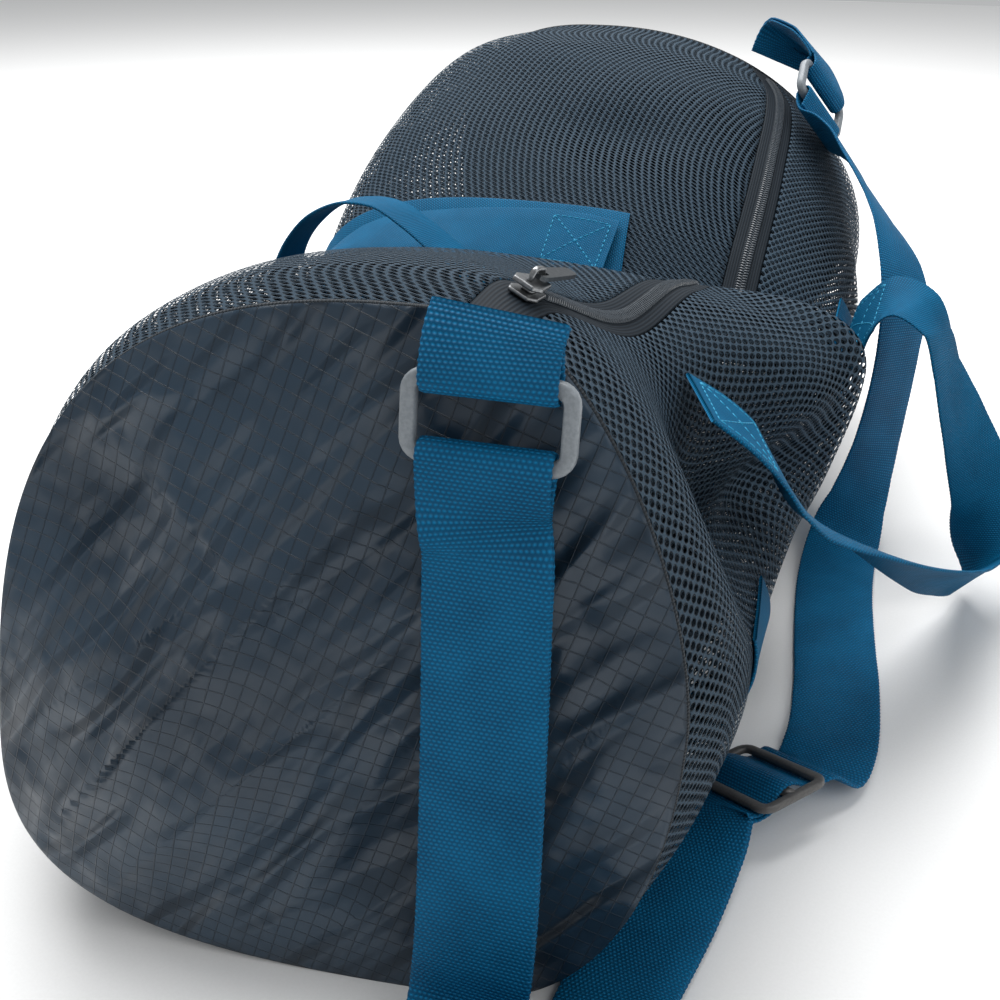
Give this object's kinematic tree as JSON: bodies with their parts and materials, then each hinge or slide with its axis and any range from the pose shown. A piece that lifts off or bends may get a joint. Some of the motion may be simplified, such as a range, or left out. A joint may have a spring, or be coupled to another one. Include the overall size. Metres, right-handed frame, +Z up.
{
  "type": "mesh duffel bag",
  "caption": "Soft mesh duffel lying on a floor, half packed and sagging in the middle, with cloth ends, a top zip, two webbing carry handles and a shoulder strap with rings and a slide.",
  "frame": {"origin": "middle of the bottom of the bounding box, on the floor the bag lies on", "axes": "+Z up, +Y along the bag from its near end, where the zip slider is, to its far end, +X towards the side where the right handle and the slide lie"},
  "size_m": [0.4216, 0.6154, 0.2452],
  "materials": {
    "mesh": "matt knitted mesh",
    "base_cloth": "satin coated cloth",
    "panel_cloth": "satin ripstop",
    "zip_tape": "matt",
    "zip_coil": "satin",
    "slider_metal": "satin",
    "pull_metal": "satin",
    "ring_plastic": "satin",
    "slide_plastic": "satin",
    "webbing": "matt woven"
  },
  "bodies": {
    "bag": {"mesh_panel_right": "mesh", "mesh_panel_left": "mesh", "base_panel": "base_cloth", "end_panel_near": "panel_cloth", "end_panel_far": "panel_cloth", "zip_tape": "zip_tape", "zip_coil": "zip_coil", "zip_slider": "slider_metal", "slider_bridge": "slider_metal", "near_ring": "ring_plastic", "far_ring": "ring_plastic", "near_tab": "webbing", "far_tab": "webbing", "shoulder_strap": "webbing", "tri_glide": "slide_plastic", "leg_right_near": "webbing", "leg_right_far": "webbing", "leg_left_near": "webbing", "leg_left_far": "webbing", "handle_left": "webbing", "handle_right": "webbing"},
    "pull": {"zip_pull": "pull_metal"}
  },
  "joints": [
    {"name": "pull_hinge", "type": "hinge", "parent": "bag", "child": "pull", "pos_m": [0.03007, -0.19865, 0.22947], "axis": [0.9066, -0.21, -0.3661], "range_deg": [0, 110]}
  ]
}
